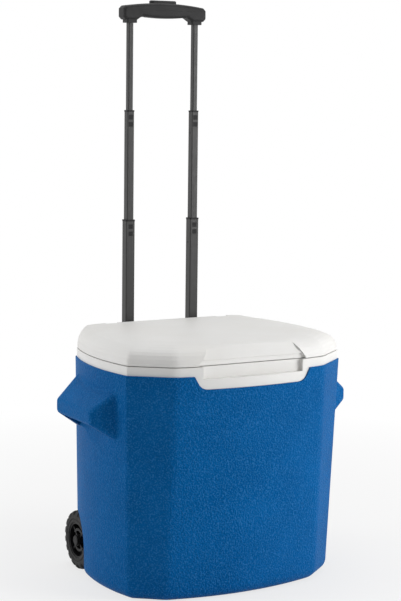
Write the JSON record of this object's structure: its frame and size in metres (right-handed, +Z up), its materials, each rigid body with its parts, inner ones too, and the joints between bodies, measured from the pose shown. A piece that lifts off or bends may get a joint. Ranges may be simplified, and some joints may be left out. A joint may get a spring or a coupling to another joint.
{
  "type": "wheeled cooler",
  "caption": "Insulated drinks cooler with a tapered body, side grips, hinged lid with a finger scoop, two rear wheels and a three-stage telescopic pull handle.",
  "frame": {"origin": "on the floor under the middle of the body, halfway between its front face and the back of the pull handle's bracket", "axes": "+Z up, front faces -Y, +X towards the right side as seen from behind the front"},
  "size_m": [0.516, 0.362, 1.0225],
  "materials": {
    "blue_shell": "pebbled, slightly waxy",
    "foam": "closed-cell insulation",
    "white_plastic": "satin, finely pebbled lid",
    "liner_white": "smooth",
    "black_plastic": "fine matt texture",
    "grip_plastic": "soft matt",
    "handle_tube": "satin black",
    "tyre": "matt rubber",
    "hub": "satin",
    "steel": "bright zinc",
    "dark_screw": "black oxide"
  },
  "bodies": {
    "body": {"outer_shell": "blue_shell", "foam_core": "foam", "liner": "liner_white", "hinge_ear_left": "liner_white", "hinge_ear_right": "liner_white", "hinge_pins": "steel", "axle": "steel", "wheel_washers": "steel", "axle_cap_left": "black_plastic", "axle_cap_right": "black_plastic", "trolley_top_bracket": "black_plastic", "trolley_bottom_bracket": "black_plastic", "bracket_screws": "dark_screw", "guide_catches": "handle_tube", "guide_tube_left": "handle_tube", "guide_tube_right": "handle_tube", "guide_collar_left": "black_plastic", "guide_collar_right": "black_plastic"},
    "lid": {"lid_top": "white_plastic", "lid_foam": "foam", "lid_pan": "white_plastic"},
    "wheel_left": {"tyre_left": "tyre", "wheel_hub_left": "hub"},
    "wheel_right": {"tyre_right": "tyre", "wheel_hub_right": "hub"},
    "lower_stage": {"lower_catches": "handle_tube", "lower_tube_left": "handle_tube", "lower_tube_right": "handle_tube", "lower_collar_left": "black_plastic", "lower_collar_right": "black_plastic", "lower_plug_left": "black_plastic", "lower_plug_right": "black_plastic"},
    "mid_stage": {"mid_catches": "handle_tube", "mid_tube_left": "handle_tube", "mid_tube_right": "handle_tube", "mid_collar_left": "black_plastic", "mid_collar_right": "black_plastic", "mid_plug_left": "black_plastic", "mid_plug_right": "black_plastic"},
    "grip": {"grip_upper": "grip_plastic", "grip_lower": "grip_plastic", "grip_screws": "dark_screw", "button_spring": "steel", "top_tube_left": "handle_tube", "top_tube_right": "handle_tube", "top_plug_left": "black_plastic", "top_plug_right": "black_plastic"},
    "button": {"release_button": "grip_plastic", "release_bar": "black_plastic", "release_rod_left": "steel", "release_rod_right": "steel"},
    "lower_pin_left": {"lower_lock_pin_left": "steel"},
    "lower_pin_right": {"lower_lock_pin_right": "steel"},
    "mid_pin_left": {"mid_lock_pin_left": "steel"},
    "mid_pin_right": {"mid_lock_pin_right": "steel"},
    "top_pin_left": {"top_lock_pin_left": "steel"},
    "top_pin_right": {"top_lock_pin_right": "steel"}
  },
  "joints": [
    {"name": "lid_hinge", "type": "hinge", "parent": "body", "child": "lid", "pos_m": [0, 0.1405, 0.43], "axis": [-1, 0, 0], "range_deg": [0, 90]},
    {"name": "wheel_spin_left", "type": "hinge", "parent": "body", "child": "wheel_left", "pos_m": [-0.183, 0.1089, 0.0533], "axis": [1, 0, 0], "continuous": true},
    {"name": "wheel_spin_right", "type": "hinge", "parent": "body", "child": "wheel_right", "pos_m": [0.183, 0.1089, 0.0533], "axis": [1, 0, 0], "continuous": true},
    {"name": "lower_stage_slide", "type": "slide", "parent": "body", "child": "lower_stage", "axis": [0, 0, 1], "range_m": [-0.213, 0]},
    {"name": "mid_stage_slide", "type": "slide", "parent": "lower_stage", "child": "mid_stage", "axis": [0, 0, 1], "range_m": [-0.187, 0]},
    {"name": "grip_slide", "type": "slide", "parent": "mid_stage", "child": "grip", "axis": [0, 0, 1], "range_m": [-0.154, 0]},
    {"name": "button_press", "type": "slide", "parent": "grip", "child": "button", "axis": [0, 0, -1], "range_m": [0, 0.004], "stiffness_N_per_m": 400, "springref_m": -0.002, "deforming": ["button_spring"]},
    {"name": "lower_pin_slide_left", "type": "slide", "parent": "lower_stage", "child": "lower_pin_left", "axis": [-1, 0, 0], "range_m": [0, 0.0025], "stiffness_N_per_m": 100},
    {"name": "lower_pin_slide_right", "type": "slide", "parent": "lower_stage", "child": "lower_pin_right", "axis": [1, 0, 0], "range_m": [0, 0.0025], "stiffness_N_per_m": 100},
    {"name": "mid_pin_slide_left", "type": "slide", "parent": "mid_stage", "child": "mid_pin_left", "axis": [-1, 0, 0], "range_m": [0, 0.0025], "stiffness_N_per_m": 100},
    {"name": "mid_pin_slide_right", "type": "slide", "parent": "mid_stage", "child": "mid_pin_right", "axis": [1, 0, 0], "range_m": [0, 0.0025], "stiffness_N_per_m": 100},
    {"name": "top_pin_slide_left", "type": "slide", "parent": "grip", "child": "top_pin_left", "axis": [-1, 0, 0], "range_m": [0, 0.0025]},
    {"name": "top_pin_slide_right", "type": "slide", "parent": "grip", "child": "top_pin_right", "axis": [1, 0, 0], "range_m": [0, 0.0025]}
  ],
  "couplings": [
    {"joint": "top_pin_slide_left", "follows": "button_press", "ratio": 0.625},
    {"joint": "top_pin_slide_right", "follows": "button_press", "ratio": 0.625}
  ]
}
